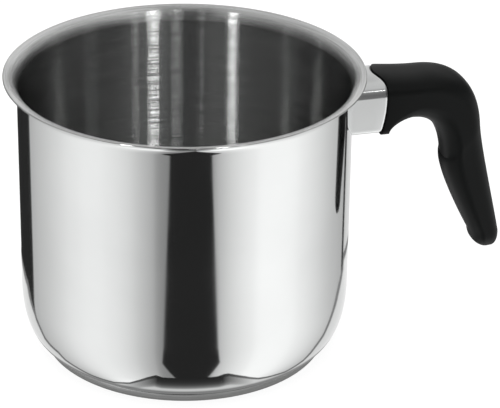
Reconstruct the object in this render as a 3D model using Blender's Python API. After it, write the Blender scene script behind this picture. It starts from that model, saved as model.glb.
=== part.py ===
"""Milk pan: a drawn steel pan with a flared rim, a capsule base and a bent phenolic handle.

Metres, +Z up. The origin is the middle of the flat base, and the handle points along +X.
"""
import math

import bmesh
import bpy
from mathutils import Matrix, Vector

# Fits shared by all pieces
SEAT = 0.0003               # gap between two pieces that touch
OVERRUN = 0.003             # how far a cutter runs past what it cuts
MERGE = 0.000001            # points nearer than this are one point
SHARP_ANGLE = math.radians(32)

# Pan body
INNER_RADIUS = 0.070        # 14 cm inside
WALL = 0.0008
PAN_HEIGHT = 0.12435        # table to the top of the rim
FLARE_RADIUS = 0.0055       # bend of the rim, on the inner face
FLARE_TURN = math.radians(80)
LIP_LENGTH = 0.0018         # straight end of the flared rim
CORNER_WIDTH = 0.011        # soft lower corner, across
CORNER_HEIGHT = 0.026       # soft lower corner, up
CORNER_POWER = 2.4          # 2 is an ellipse, more is squarer
CORNER_STEPS = 8
FLARE_STEPS = 7
PAN_STEPS = 72

# Capsule base: an aluminium disc held by a thin steel cap
SPREADER_THICKNESS = 0.0029
SPREADER_CHAMFER = 0.0004
CAP_WALL = 0.0005
CAP_CORNER_RADIUS = 0.0010
CAP_OVERHANG = 0.00165      # ring that shows beyond the flat of the body

# Flame guard: the steel sleeve between the wall and the grip
GUARD_WIDTH = 0.0266
GUARD_HEIGHT = 0.0238
GUARD_WALL = 0.0008
GUARD_TOP_DROP = 0.00835    # top of the sleeve below the rim
GUARD_LENGTH = 0.0147       # wall to the end of the sleeve, at its sides
CROWN_HEIGHT = 0.0070       # rounded top of the sleeve
CROWN_POWER = 2.5
TOE_RADIUS = 0.0020         # lower edges of the sleeve
TONGUE = 0.0032             # how far the grip reaches over the top of the sleeve
HEEL = 0.0025               # how far the grip reaches back under the sleeve
HEEL_POWER = 2.2            # how late down the side that begins; 1 is straight

# Grip
GRIP_PROUD = 0.00035        # step from the sleeve up to the grip
SPIGOT_LENGTH = 0.0060      # part of the grip that sits inside the sleeve
GRIP_ROOT = 0.0015          # straight start of the grip, past the sleeve
GRIP_REACH = 0.0560         # root to the outermost point before the tip
GRIP_DROP = 0.0809          # top of the grip to its last full section
BAR_THICKNESS = 0.0198      # level part of the grip, above the fingers
TIP_LENGTH = 0.0072
TIP_POWER = 2.3
TIP_LEAN_SHARE = 0.14       # how far the tip's end lies towards the back, of the thickness there
# Control points of the grip's back line, in three stretches: share of the reach, share of the drop
BACK_SHARES = (
    ((0.00, 0.000), (0.109, 0.009), (0.227, 0.018), (0.336, 0.016)),
    ((0.336, 0.016), (0.616, 0.014), (0.758, 0.113), (0.788, 0.318)),
    ((0.788, 0.318), (0.812, 0.462), (0.916, 0.735), (1.000, 1.000)),
)
# The same for its finger side, which starts at the heel and runs under the bar
HEEL_SHARES = (0.016, 0.965)            # of the reach, and of the grip's height at its root
BAR_SHARES = (0.085, 0.194, 0.322)      # of the reach, along the underside of the bar
BAR_DIP_SHARE = 1.016                   # of the bar's thickness, at the last of these
FINGER_BEND_SHARES = ((0.455, 0.303), (0.503, 0.403))
FINGER_END_SHARES = ((0.547, 0.518), (0.504, 0.670), (0.802, 1.011))
# Width of the grip at the same control points, of the width at its root
WIDTH_SHARES = (
    (1.00, 1.00, 0.985, 0.965),
    (0.965, 0.945, 0.91, 0.885),
    (0.885, 0.85, 0.79, 0.715),
)
# Crown and finger-side rounding where the stretches end, of the thickness there
CROWN_SHARES = (0.32, 0.35, 0.36)
ROUNDING_SHARES = (0.30, 0.33, 0.33)
SECTIONS_PER_STRETCH = (4, 9, 9)
TIP_SECTIONS = 5

# Bracket: a bent foot that is welded to the wall, and a channel that runs into the grip
FOOT_WIDTH = 0.0200
FOOT_HEIGHT = 0.0160
FOOT_THICKNESS = 0.0020
FOOT_CORNER = 0.0025
FOOT_STEPS = 8
CHANNEL_SHEET = 0.0015
CHANNEL_HEIGHT = 0.0070
CHANNEL_RISE = 0.0120       # underside of the sleeve to the underside of the channel
CHANNEL_LENGTH = 0.0345     # from the foot's outer face

# Weld nuggets between the foot and the wall
NUGGET_RADIUS = 0.0022
NUGGET_THICKNESS = 0.0006
NUGGET_SPACING_ACROSS = 0.0125
NUGGET_SPACING_UP = 0.0100
NUGGET_STEPS = 20

# Screw that clamps the grip to the channel, with its washers and square nut
SCREW_OFFSET = 0.0125       # end of the sleeve to the screw
SCREW_RADIUS = 0.0020
HEAD_RADIUS = 0.0040
HEAD_HEIGHT = 0.0026
HEAD_ROUND = 0.0009
HEAD_SLOT_WIDTH = 0.0010
HEAD_SLOT_LENGTH = 0.0044
HEAD_SLOT_DEPTH = 0.0014
SCREW_POINT = 0.0006
SCREW_END = 0.0012          # how far the screw stands out of the nut
CLAMP_FLOOR = 0.0022        # phenolic between the washer and the channel
RECESS_PLAY = 0.0006
FLAT_WASHER_RADIUS = 0.0046
FLAT_WASHER_THICKNESS = 0.0008
SPRING_WASHER_RADIUS = 0.0038
SPRING_WASHER_THICKNESS = 0.0009
SPRING_WASHER_SPLIT = math.radians(14)
NUT_WIDTH = 0.0070
NUT_HEIGHT = 0.0032
NUT_CHAMFER = 0.0005
SMALL_STEPS = 28

# Sizes that follow from those above
WALL_RADIUS = INNER_RADIUS + WALL
BODY_BOTTOM = CAP_WALL + SEAT + SPREADER_THICKNESS + SEAT
FLAT_RADIUS = WALL_RADIUS - CORNER_WIDTH
CAP_RADIUS = FLAT_RADIUS + CAP_OVERHANG
GUARD_TOP = PAN_HEIGHT - GUARD_TOP_DROP
GUARD_BOTTOM = GUARD_TOP - GUARD_HEIGHT
GUARD_END = WALL_RADIUS + GUARD_LENGTH
GUARD_SHOULDER = GUARD_TOP - CROWN_HEIGHT
CHANNEL_BOTTOM = GUARD_BOTTOM + CHANNEL_RISE
CHANNEL_TOP = CHANNEL_BOTTOM + CHANNEL_HEIGHT
CHANNEL_WIDTH = NUT_WIDTH + 2 * SEAT + 2 * CHANNEL_SHEET
FOOT_INNER = WALL_RADIUS + SEAT
FOOT_OUTER = FOOT_INNER + FOOT_THICKNESS
CHANNEL_END = FOOT_OUTER + CHANNEL_LENGTH
FOOT_MIDDLE = (GUARD_TOP + GUARD_BOTTOM) / 2
SCREW_X = GUARD_END + SCREW_OFFSET
SCREW_HOLE_RADIUS = SCREW_RADIUS + SEAT
RECESS_TOP = CHANNEL_BOTTOM - SEAT - CLAMP_FLOOR
FLAT_WASHER_BOTTOM = RECESS_TOP - SEAT - FLAT_WASHER_THICKNESS
SPRING_WASHER_BOTTOM = FLAT_WASHER_BOTTOM - SEAT - SPRING_WASHER_THICKNESS
HEAD_TOP = SPRING_WASHER_BOTTOM - SEAT
HEAD_BOTTOM = HEAD_TOP - HEAD_HEIGHT
NUT_BOTTOM = CHANNEL_BOTTOM + CHANNEL_SHEET + SEAT
NUT_TOP = NUT_BOTTOM + NUT_HEIGHT


def clear_scene():
    for old in list(bpy.data.objects):
        bpy.data.objects.remove(old, do_unlink=True)


def material(name, colour, roughness, metallic):
    made = bpy.data.materials.new(name)
    made.use_nodes = True
    shader = made.node_tree.nodes["Principled BSDF"]
    shader.inputs["Base Color"].default_value = (*colour, 1.0)
    shader.inputs["Roughness"].default_value = roughness
    shader.inputs["Metallic"].default_value = metallic
    made.diffuse_color = (*colour, 1.0)
    return made


def add_object(name, bm, finish=None):
    """Closes a bmesh into a smooth-shaded object with its faces pointing out."""
    bmesh.ops.remove_doubles(bm, verts=bm.verts, dist=MERGE)
    bmesh.ops.recalc_face_normals(bm, faces=bm.faces)
    mesh = bpy.data.meshes.new(name)
    bm.to_mesh(mesh)
    bm.free()
    mesh.shade_smooth()
    mesh.set_sharp_from_angle(angle=SHARP_ANGLE)
    if finish:
        mesh.materials.append(finish)
    made = bpy.data.objects.new(name, mesh)
    bpy.context.collection.objects.link(made)
    return made


def combine(target, tool, operation):
    """Cuts or joins a hidden tool body into the target."""
    tool.hide_render = True
    tool.display_type = "WIRE"
    step = target.modifiers.new(f"{operation.lower()} {tool.name}", "BOOLEAN")
    step.operation = operation
    step.solver = "EXACT"
    step.object = tool


def turned(name, outline, steps, finish=None, angle=math.tau):
    """Turns a line of (radius, height) points about the Z axis."""
    bm = bmesh.new()
    verts = [bm.verts.new((radius, 0, height)) for radius, height in outline]
    edges = [bm.edges.new(pair) for pair in zip(verts, verts[1:])]
    if outline[0][0] > 0:
        edges.append(bm.edges.new((verts[-1], verts[0])))
    whole = angle == math.tau
    if not whole:
        bm.faces.new(verts)
    bmesh.ops.spin(bm, geom=bm.verts[:] + bm.edges[:] + bm.faces[:], cent=(0, 0, 0), axis=(0, 0, 1),
                   angle=angle, steps=steps, use_merge=whole)
    return add_object(name, bm, finish)


def lofted(name, loops, finish=None):
    """Skins equal loops of points, one after the other, and caps both ends."""
    bm = bmesh.new()
    rings = [[bm.verts.new(point) for point in loop] for loop in loops]
    for ring, following in zip(rings, rings[1:]):
        for here, there, there_next, here_next in zip(ring, following, following[1:] + following[:1],
                                                      ring[1:] + ring[:1]):
            bm.faces.new((here, there, there_next, here_next))
    bm.faces.new(rings[0])
    bm.faces.new(rings[-1])
    return add_object(name, bm, finish)


def block(name, low, high):
    """A plain box between two corners, for cutting with."""
    bm = bmesh.new()
    size = Vector(high) - Vector(low)
    middle = (Vector(high) + Vector(low)) / 2
    bmesh.ops.create_cube(bm, size=1, matrix=Matrix.Translation(middle) @ Matrix.Diagonal((*size, 1)))
    return add_object(name, bm)


def rod(name, radius, low, high, steps=SMALL_STEPS):
    """A plain upright rod at the origin, for cutting with."""
    return turned(name, [(0, low), (radius, low), (radius, high), (0, high)], steps)


def quarter(power, count):
    """Points of a unit quarter of a superellipse, from (1, 0) up to (0, 1)."""
    angles = [math.pi / 2 * step / count for step in range(count + 1)]
    return [(abs(math.cos(a)) ** (2 / power), abs(math.sin(a)) ** (2 / power)) for a in angles]


def bezier(points, share):
    """Point at a share of the way along a cubic curve with four control points."""
    rest = 1 - share
    weights = (rest ** 3, 3 * rest ** 2 * share, 3 * rest * share ** 2, share ** 3)
    return sum((weight * point for weight, point in zip(weights, points)), points[0] * 0)


def section(half_width, height, crown, toe, crown_points=7, toe_points=4, floor_points=5):
    """Outline of the sleeve and grip seen along them, as (across, up) from a shoulder over the crown."""
    over = [(half_width * x, height - crown + crown * y) for x, y in quarter(CROWN_POWER, crown_points)]
    over += [(-across, up) for across, up in reversed(over[:-1])]
    corner = [(-half_width + toe - toe * x, toe - toe * y) for x, y in quarter(2, toe_points)]
    flat = half_width - toe
    floor = [(flat * (2 * step / floor_points - 1), 0) for step in range(1, floor_points)]
    return over + corner + floor + [(-across, up) for across, up in reversed(corner)]


def build_body(finish):
    bend_radius = INNER_RADIUS + FLARE_RADIUS
    bend_height = PAN_HEIGHT - FLARE_RADIUS * math.sin(FLARE_TURN) - LIP_LENGTH * math.cos(FLARE_TURN)
    corner_top = BODY_BOTTOM + CORNER_HEIGHT
    corner = quarter(CORNER_POWER, CORNER_STEPS)
    bends = [FLARE_TURN * step / FLARE_STEPS for step in range(FLARE_STEPS + 1)]
    lip = Vector((math.sin(FLARE_TURN), math.cos(FLARE_TURN))) * LIP_LENGTH

    def face(offset):
        """One face of the sheet from the axis to the rim; the offset is 0 outside and WALL inside."""
        line = [(0, BODY_BOTTOM + offset)]
        line += [(FLAT_RADIUS + (CORNER_WIDTH - offset) * x, corner_top - (CORNER_HEIGHT - offset) * y)
                 for x, y in reversed(corner)]
        radius = FLARE_RADIUS - WALL + offset
        line += [(bend_radius - radius * math.cos(a), bend_height + radius * math.sin(a)) for a in bends]
        line.append((line[-1][0] + lip.x, line[-1][1] + lip.y))
        return line

    return turned("pan_body", face(WALL) + face(0)[::-1], PAN_STEPS, finish)


def build_base(steel, aluminium):
    disc_radius = CAP_RADIUS - CAP_WALL - SEAT
    disc_bottom = CAP_WALL + SEAT
    disc_top = disc_bottom + SPREADER_THICKNESS
    edge = disc_radius - SPREADER_CHAMFER
    turned("heat_spreader_disc", [
        (0, disc_bottom), (edge, disc_bottom), (disc_radius, disc_bottom + SPREADER_CHAMFER),
        (disc_radius, disc_top - SPREADER_CHAMFER), (edge, disc_top), (0, disc_top)], PAN_STEPS, aluminium)

    def corner(radius):
        middle = CAP_RADIUS - CAP_CORNER_RADIUS
        return [(middle + radius * x, CAP_CORNER_RADIUS - radius * y)
                for x, y in reversed(quarter(2, 4))]

    outside = [(0, 0)] + corner(CAP_CORNER_RADIUS) + [(CAP_RADIUS, disc_top)]
    inside = [(0, CAP_WALL)] + corner(CAP_CORNER_RADIUS - CAP_WALL) + [(CAP_RADIUS - CAP_WALL, disc_top)]
    turned("base_cap", outside + inside[::-1], PAN_STEPS, steel)


def guard_end(across, up):
    """How far out the sleeve reaches at a point of its section; the grip starts a SEAT further."""
    if up > GUARD_SHOULDER:
        return GUARD_END - TONGUE * (1 + math.cos(math.tau * across / GUARD_WIDTH)) / 2
    fall = (GUARD_SHOULDER - up) / (GUARD_SHOULDER - GUARD_BOTTOM)
    return GUARD_END - HEEL * fall ** HEEL_POWER


def guard_section(inset):
    """Section of the sleeve, drawn in by an inset, in world Y and Z."""
    outline = section(GUARD_WIDTH / 2 - inset, GUARD_HEIGHT - 2 * inset, CROWN_HEIGHT - inset,
                      max(TOE_RADIUS - inset, SEAT))
    return [(across, GUARD_BOTTOM + inset + up) for across, up in outline]


def build_guard(finish):
    bm = bmesh.new()

    def ring(inset, at_wall):
        points = guard_section(inset)
        if at_wall:
            return [(math.sqrt((WALL_RADIUS + SEAT) ** 2 - y * y), y, z) for y, z in points]
        return [(guard_end(y, z), y, z) for y, z in points]

    loops = [ring(0, True), ring(0, False), ring(GUARD_WALL, False), ring(GUARD_WALL, True)]
    rings = [[bm.verts.new(point) for point in loop] for loop in loops]
    for ring_here, ring_there in zip(rings, rings[1:] + rings[:1]):
        for k in range(len(ring_here)):
            n = (k + 1) % len(ring_here)
            bm.faces.new((ring_here[k], ring_there[k], ring_there[n], ring_here[n]))
    return add_object("flame_guard", bm, finish)


def grip_lines():
    """Control points of the grip's back and finger side, in three stretches each, as (along, up)."""
    top = Vector((GUARD_END + GRIP_ROOT, GUARD_TOP + GRIP_PROUD))

    def place(out, down):
        return top + Vector((out * GRIP_REACH, -down * GRIP_DROP))

    def hang(out, depth):
        return top + Vector((out * GRIP_REACH, -depth))

    height = GUARD_HEIGHT + 2 * GRIP_PROUD
    back = [[place(*shares) for shares in stretch] for stretch in BACK_SHARES]
    heel = [hang(0, height), hang(HEEL_SHARES[0], height * HEEL_SHARES[1])]
    bar = [hang(out, BAR_THICKNESS) for out in BAR_SHARES[:2]]
    dip = hang(BAR_SHARES[2], BAR_THICKNESS * BAR_DIP_SHARE)
    bend = [place(*shares) for shares in FINGER_BEND_SHARES]
    end = [place(*shares) for shares in FINGER_END_SHARES]
    return back, [heel + bar, [bar[1], dip] + bend, [bend[1]] + end]


def grip_loops():
    """Every loop of the grip, from the end of its spigot to the end of its tip."""
    spigot = guard_section(GUARD_WALL + SEAT)
    front = guard_section(-GRIP_PROUD)
    spigot_x = GUARD_END - SPIGOT_LENGTH - TONGUE
    loops = [
        [(spigot_x, y, z) for y, z in spigot],
        [(guard_end(y, z) + SEAT, y, z) for y, z in spigot],
        [(guard_end(y, z) + SEAT, y, z) for y, z in front],
    ]
    height = GUARD_HEIGHT + 2 * GRIP_PROUD
    crowns = ((CROWN_HEIGHT + GRIP_PROUD) / height,) + CROWN_SHARES
    toes = ((TOE_RADIUS + GRIP_PROUD) / height,) + ROUNDING_SHARES
    root_width = GUARD_WIDTH / 2 + GRIP_PROUD
    stretches = zip(*grip_lines(), WIDTH_SHARES, zip(crowns, crowns[1:]), zip(toes, toes[1:]),
                    SECTIONS_PER_STRETCH)
    for number, (back, finger, widths, crown, toe, count) in enumerate(stretches):
        for step in range(1 if number else 0, count + 1):
            share = step / count
            outer = bezier(back, share)
            inner = bezier(finger, share)
            half_width = root_width * bezier(widths, share)
            rounding = [first + (last - first) * share for first, last in (crown, toe)]
            loops.append(grip_loop(inner, outer, half_width, *rounding))
    middle = (inner + outer) / 2
    through = outer - inner
    ahead = Vector((through.y, -through.x)).normalized()
    for scale, advance in quarter(TIP_POWER, TIP_SECTIONS)[1:-1]:
        centre = middle + ahead * TIP_LENGTH * advance + through * TIP_LEAN_SHARE * (1 - scale)
        reach = through / 2 * scale
        loops.append(grip_loop(centre - reach, centre + reach, half_width * scale, *rounding))
    return loops


def grip_loop(inner, outer, half_width, crown, toe):
    """One section of the grip between its finger side and its back; crown and toe are shares of it."""
    through = outer - inner
    outline = section(half_width, through.length, crown * through.length, toe * through.length)
    direction = through.normalized()
    return [(inner.x + direction.x * up, across, inner.y + direction.y * up) for across, up in outline]


def build_grip(finish):
    grip = lofted("handle", grip_loops(), finish)
    slot_side = CHANNEL_WIDTH / 2 + SEAT
    slot = block("handle_slot_cutter", (WALL_RADIUS, -slot_side, CHANNEL_BOTTOM - SEAT),
                 (CHANNEL_END + SEAT, slot_side, CHANNEL_TOP + SEAT))
    combine(grip, slot, "DIFFERENCE")
    hole = rod("handle_hole_cutter", SCREW_HOLE_RADIUS, RECESS_TOP - OVERRUN, CHANNEL_BOTTOM + OVERRUN)
    recess = rod("handle_recess_cutter", FLAT_WASHER_RADIUS + RECESS_PLAY, RECESS_TOP - GUARD_HEIGHT, RECESS_TOP)
    for cutter in (recess, hole):
        cutter.location.x = SCREW_X
        combine(grip, cutter, "DIFFERENCE")
    return grip


def nugget_places():
    """Angle about the pan's axis and height of each weld nugget."""
    swing = NUGGET_SPACING_ACROSS / 2 / WALL_RADIUS
    rise = NUGGET_SPACING_UP / 2
    return [(side * swing, FOOT_MIDDLE + level * rise) for level in (1, -1) for side in (1, -1)]


def nugget_disc(name, radius, low, high, place, finish=None):
    """A disc that lies on the wall, its axis pointing out from the pan."""
    angle, height = place
    disc = turned(name, [(0, low), (radius, low), (radius, high), (0, high)], NUGGET_STEPS, finish)
    disc.data.transform(Matrix.Translation((0, 0, height)) @ Matrix.Rotation(angle, 4, "Z")
                        @ Matrix.Rotation(math.pi / 2, 4, "Y"))
    return disc


def build_bracket(steel, weld):
    half_angle = FOOT_WIDTH / 2 / FOOT_OUTER
    low = FOOT_MIDDLE - FOOT_HEIGHT / 2
    high = FOOT_MIDDLE + FOOT_HEIGHT / 2
    foot = turned("handle_bracket", [(FOOT_INNER, low), (FOOT_OUTER, low), (FOOT_OUTER, high), (FOOT_INNER, high)],
                  FOOT_STEPS, steel, angle=2 * half_angle)
    foot.data.transform(Matrix.Rotation(-half_angle, 4, "Z"))
    round_corners(foot, half_angle)

    half = CHANNEL_WIDTH / 2
    gap = half - CHANNEL_SHEET
    floor = CHANNEL_BOTTOM + CHANNEL_SHEET
    profile = [(-half, CHANNEL_TOP), (-half, CHANNEL_BOTTOM), (half, CHANNEL_BOTTOM), (half, CHANNEL_TOP),
               (gap, CHANNEL_TOP), (gap, floor), (-gap, floor), (-gap, CHANNEL_TOP)]
    start = FOOT_OUTER - FOOT_THICKNESS / 2
    channel = lofted("bracket_channel", [[(x, y, z) for y, z in profile] for x in (start, CHANNEL_END)])
    combine(foot, channel, "UNION")
    hole = rod("bracket_hole_cutter", SCREW_HOLE_RADIUS, CHANNEL_BOTTOM - OVERRUN, floor + OVERRUN)
    hole.location.x = SCREW_X
    combine(foot, hole, "DIFFERENCE")

    nugget_low = FOOT_INNER
    nugget_high = nugget_low + NUGGET_THICKNESS
    for number, place in enumerate(nugget_places(), start=1):
        pocket = nugget_disc(f"nugget_cutter_{number}", NUGGET_RADIUS + SEAT, nugget_low - OVERRUN,
                             nugget_high + SEAT, place)
        combine(foot, pocket, "DIFFERENCE")
        nugget_disc(f"weld_nugget_{number}", NUGGET_RADIUS, nugget_low, nugget_high, place, weld)


def round_corners(foot, half_angle):
    """Bevels the four corners of the foot, which are its short edges that point away from the pan."""
    bm = bmesh.new()
    bm.from_mesh(foot.data)
    corners = []
    for edge in bm.edges:
        radii = sorted(vert.co.xy.length for vert in edge.verts)
        angle = abs(math.atan2(edge.verts[0].co.y, edge.verts[0].co.x))
        if radii[1] - radii[0] > FOOT_THICKNESS / 2 and angle > half_angle * (1 - 1 / FOOT_STEPS):
            corners.append(edge)
    bmesh.ops.bevel(bm, geom=corners, offset=FOOT_CORNER, segments=3, profile=0.5, affect="EDGES")
    bm.to_mesh(foot.data)
    bm.free()


def build_screw(steel, brass):
    dome = [(HEAD_RADIUS - HEAD_ROUND + HEAD_ROUND * x, HEAD_BOTTOM + HEAD_ROUND - HEAD_ROUND * y)
            for x, y in reversed(quarter(2, 4))]
    tip = NUT_TOP + SCREW_END
    screw = turned("handle_screw", [(0, HEAD_BOTTOM)] + dome + [
        (HEAD_RADIUS, HEAD_TOP), (SCREW_RADIUS, HEAD_TOP), (SCREW_RADIUS, tip - SCREW_POINT),
        (SCREW_RADIUS - SCREW_POINT, tip), (0, tip)], SMALL_STEPS, steel)
    screw.location.x = SCREW_X
    for name, turn in (("screw_slot_cutter", 0), ("screw_cross_cutter", math.pi / 2)):
        slot = block(name, (-HEAD_SLOT_LENGTH / 2, -HEAD_SLOT_WIDTH / 2, HEAD_BOTTOM - OVERRUN),
                     (HEAD_SLOT_LENGTH / 2, HEAD_SLOT_WIDTH / 2, HEAD_BOTTOM + HEAD_SLOT_DEPTH))
        slot.rotation_euler.z = turn
        slot.location.x = SCREW_X
        combine(screw, slot, "DIFFERENCE")

    def ring(low, thickness, radius):
        return [(SCREW_HOLE_RADIUS, low), (radius, low), (radius, low + thickness),
                (SCREW_HOLE_RADIUS, low + thickness)]

    flat = turned("flat_washer", ring(FLAT_WASHER_BOTTOM, FLAT_WASHER_THICKNESS, FLAT_WASHER_RADIUS),
                  SMALL_STEPS, steel)
    spring = turned("spring_washer", ring(SPRING_WASHER_BOTTOM, SPRING_WASHER_THICKNESS, SPRING_WASHER_RADIUS),
                    SMALL_STEPS, steel, angle=math.tau - SPRING_WASHER_SPLIT)
    bm = bmesh.new()
    bmesh.ops.create_cube(bm, size=1, matrix=Matrix.Translation((0, 0, (NUT_BOTTOM + NUT_TOP) / 2))
                          @ Matrix.Diagonal((NUT_WIDTH, NUT_WIDTH, NUT_HEIGHT, 1)))
    uprights = [edge for edge in bm.edges if abs(edge.verts[0].co.z - edge.verts[1].co.z) > NUT_HEIGHT / 2]
    bmesh.ops.bevel(bm, geom=uprights, offset=NUT_CHAMFER, segments=1, affect="EDGES")
    nut = add_object("square_nut", bm, brass)
    bore = rod("nut_bore_cutter", SCREW_HOLE_RADIUS, NUT_BOTTOM - OVERRUN, NUT_TOP + OVERRUN)
    combine(nut, bore, "DIFFERENCE")
    for piece in (flat, spring, nut, bore):
        piece.location.x = SCREW_X


def main():
    clear_scene()
    polished = material("polished steel", (0.86, 0.86, 0.86), 0.06, 1.0)
    satin = material("satin steel", (0.62, 0.63, 0.63), 0.32, 1.0)
    aluminium = material("aluminium", (0.80, 0.81, 0.82), 0.40, 1.0)
    pressed = material("pressed steel", (0.52, 0.52, 0.53), 0.45, 1.0)
    weld = material("weld metal", (0.35, 0.34, 0.33), 0.60, 1.0)
    phenolic = material("black phenolic", (0.016, 0.016, 0.017), 0.34, 0.0)
    brass = material("brass", (0.72, 0.53, 0.25), 0.35, 1.0)

    build_body(polished)
    build_base(satin, aluminium)
    build_guard(polished)
    build_grip(phenolic)
    build_bracket(pressed, weld)
    build_screw(satin, brass)


main()
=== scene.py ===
"""Milk pan: polished steel with a flared rim and a bent black grip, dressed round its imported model."""
import math

import bpy
from mathutils import Matrix, Vector


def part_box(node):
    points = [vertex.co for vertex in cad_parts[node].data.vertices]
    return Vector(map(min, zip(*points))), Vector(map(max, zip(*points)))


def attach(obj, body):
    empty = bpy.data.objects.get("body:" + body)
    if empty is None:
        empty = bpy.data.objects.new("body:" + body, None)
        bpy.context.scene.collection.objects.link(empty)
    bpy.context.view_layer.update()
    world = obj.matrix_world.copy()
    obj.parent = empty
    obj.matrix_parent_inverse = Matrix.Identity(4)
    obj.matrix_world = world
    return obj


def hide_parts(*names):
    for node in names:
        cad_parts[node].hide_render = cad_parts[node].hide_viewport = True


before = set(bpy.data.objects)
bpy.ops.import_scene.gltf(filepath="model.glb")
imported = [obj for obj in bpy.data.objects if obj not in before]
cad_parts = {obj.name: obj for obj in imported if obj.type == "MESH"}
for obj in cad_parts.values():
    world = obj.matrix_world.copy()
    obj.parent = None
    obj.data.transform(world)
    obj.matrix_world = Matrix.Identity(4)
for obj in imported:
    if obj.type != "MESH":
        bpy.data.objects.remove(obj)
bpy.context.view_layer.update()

bl_info = {
    "name": "Milk Pan",
    "version": (1, 0, 0),
    "blender": (4, 5, 0),
    "location": "View3D > Sidebar > Milk Pan",
    "description": "Builds a polished milk pan, its grip and a light studio round the packed model",
    "category": "Object",
}

BODY_LOW, BODY_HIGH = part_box("pan_body")
CAP_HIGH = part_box("base_cap")[1]
SLEEVE_LOW, SLEEVE_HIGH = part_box("flame_guard")
SCREW_LOW, SCREW_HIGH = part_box("handle_screw")
NUT_LOW, NUT_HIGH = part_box("square_nut")

MERGE = 0.000002            # points nearer than this are one point
SHARP_ANGLE = math.radians(32)
OVERRUN = 0.003             # how far a cutter runs past what it cuts
LEVEL = 0.9                 # a face whose normal rises more than this lies level
FACING_UP = 0.1             # a face whose normal rises more than this looks up
CHANNEL_SHEET = 0.0015      # steel of the bracket's channel
CHANNEL_DEPTH = 0.0070      # height of the channel
NOISE_SPAN = (0.3, 0.7)     # most of a noise's values lie between these

# Divisions of the pan's sheet, the other pieces and rounded edges
FLOOR_PARTS = (0.25, 0.5, 0.75, 0.9)    # rings of the pan's floor, of its flat radius
CORNER_STEPS = 36
WALL_RINGS = 12
BEND_RINGS = 24
BEND_HOLD = 0.0003          # rings this near both ends of the straight wall keep its shading straight
CAP_SEGMENTS = 192
GROOVE_STEPS = 12
ROUND_SEGMENTS = 64
SLEEVE_PARTS = (0, 0.25, 0.5, 0.75, 1)  # rings of the sleeve, of its straight length
ARC_STEPS = 10
EDGE_STEPS = 5
GRIP_EDGE_STEPS = 6
THREAD_CREST = (0.4, 0.6)               # where the thread's crest starts and ends, of the pitch
CROSS_TAPER = (0.45, 0.7, 1)            # floor of the cross recess, of its mouth

# Control points of the grip's back line, in three stretches: share of the reach, share of the drop
BACK_SHARES = (
    ((0.00, 0.000), (0.109, 0.009), (0.227, 0.018), (0.336, 0.016)),
    ((0.336, 0.016), (0.616, 0.014), (0.758, 0.113), (0.788, 0.318)),
    ((0.788, 0.318), (0.812, 0.462), (0.916, 0.735), (1.000, 1.000)),
)
# The same for its finger side, which starts at the heel and runs under the bar
HEEL_SHARES = (0.010, 0.972)            # of the reach, and of the grip's height at its root
BAR_SHARES = (0.085, 0.194, 0.294)      # of the reach, along the underside of the bar
BAR_DIP_SHARE = 1.016                   # of the bar's thickness, at the last of these
FINGER_BEND_SHARES = ((0.483, 0.279), (0.521, 0.539))
FINGER_END_SHARES = ((0.470, 0.581), (0.660, 0.862), (0.776, 1.011))
# Width of the grip at the same control points, of the width at its root
WIDTH_SHARES = (
    (1.00, 1.00, 0.985, 0.965),
    (0.965, 0.94, 0.90, 0.86),
    (0.86, 0.81, 0.74, 0.65),
)
CROWN_SHARES = (0.32, 0.35, 0.36)       # where the stretches end, of the thickness there
ROUNDING_SHARES = (0.34, 0.38, 0.40)
ROUNDING_ACROSS_SHARES = (0.75, 0.90, 0.95)     # the same, of the half width there
SECTION_POINTS = (16, 8, 12)            # divisions of half the crown, of a toe and of the floor
SIDE_PARTS = (0.02, 0.25, 0.50, 0.75, 0.98)     # of the section's flat side, from the crown down
SECTIONS_PER_STRETCH = (14, 26, 24)
TIP_SECTIONS = 10


def length(name, description, default):
    """A size in metres, shown in the scene's own unit."""
    return bpy.props.FloatProperty(name=name, description=description, default=default, min=0.0,
                                   unit="LENGTH", subtype="DISTANCE")


def angle(name, description, degrees):
    return bpy.props.FloatProperty(name=name, description=description, default=math.radians(degrees),
                                   unit="ROTATION", subtype="ANGLE")


def share(name, description, default, low=0.0, high=1.0):
    return bpy.props.FloatProperty(name=name, description=description, default=default, min=low, max=high,
                                   subtype="FACTOR")


def count(name, description, default):
    return bpy.props.IntProperty(name=name, description=description, default=default, min=3)


def colour(name, description, default):
    return bpy.props.FloatVectorProperty(name=name, description=description, default=default, size=3,
                                         min=0.0, max=1.0, subtype="COLOR")


class PanSizes(bpy.types.PropertyGroup):
    inner_radius: length("Inner radius", "Half the width inside", 0.070)
    wall: length("Wall", "Thickness of the drawn steel", 0.0008)
    flare_radius: length("Flare radius", "Bend of the rim on its inner face", 0.0055)
    flare_turn: angle("Flare turn", "How far the rim turns out from upright", 80)
    lip_length: length("Lip length", "Straight end of the flared rim", 0.0018)
    rim_start: length("Rim start", "How far up the bend its brushing grows finer", 0.0028)
    corner_width: length("Corner width", "Soft lower corner, across", 0.011)
    corner_height: length("Corner height", "Soft lower corner, up", 0.026)
    corner_power: share("Corner power", "2 is an ellipse, more is squarer", 2.4, 1.0, 8.0)
    segments: count("Segments", "Divisions round the pan", 240)


class BaseSizes(bpy.types.PropertyGroup):
    wall: length("Wall", "Thickness of the steel cap", 0.0005)
    corner_radius: length("Corner radius", "Lower edge of the cap", 0.0010)
    edge_radius: length("Edge radius", "Rounded upper edge of the cap", 0.0005)
    groove_radius: length("Groove radius", "Middle of the ring pressed into the underside", 0.047)
    groove_width: length("Groove width", "Width of that ring", 0.0024)
    groove_depth: length("Groove depth", "Depth of that ring", 0.00022)


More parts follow.
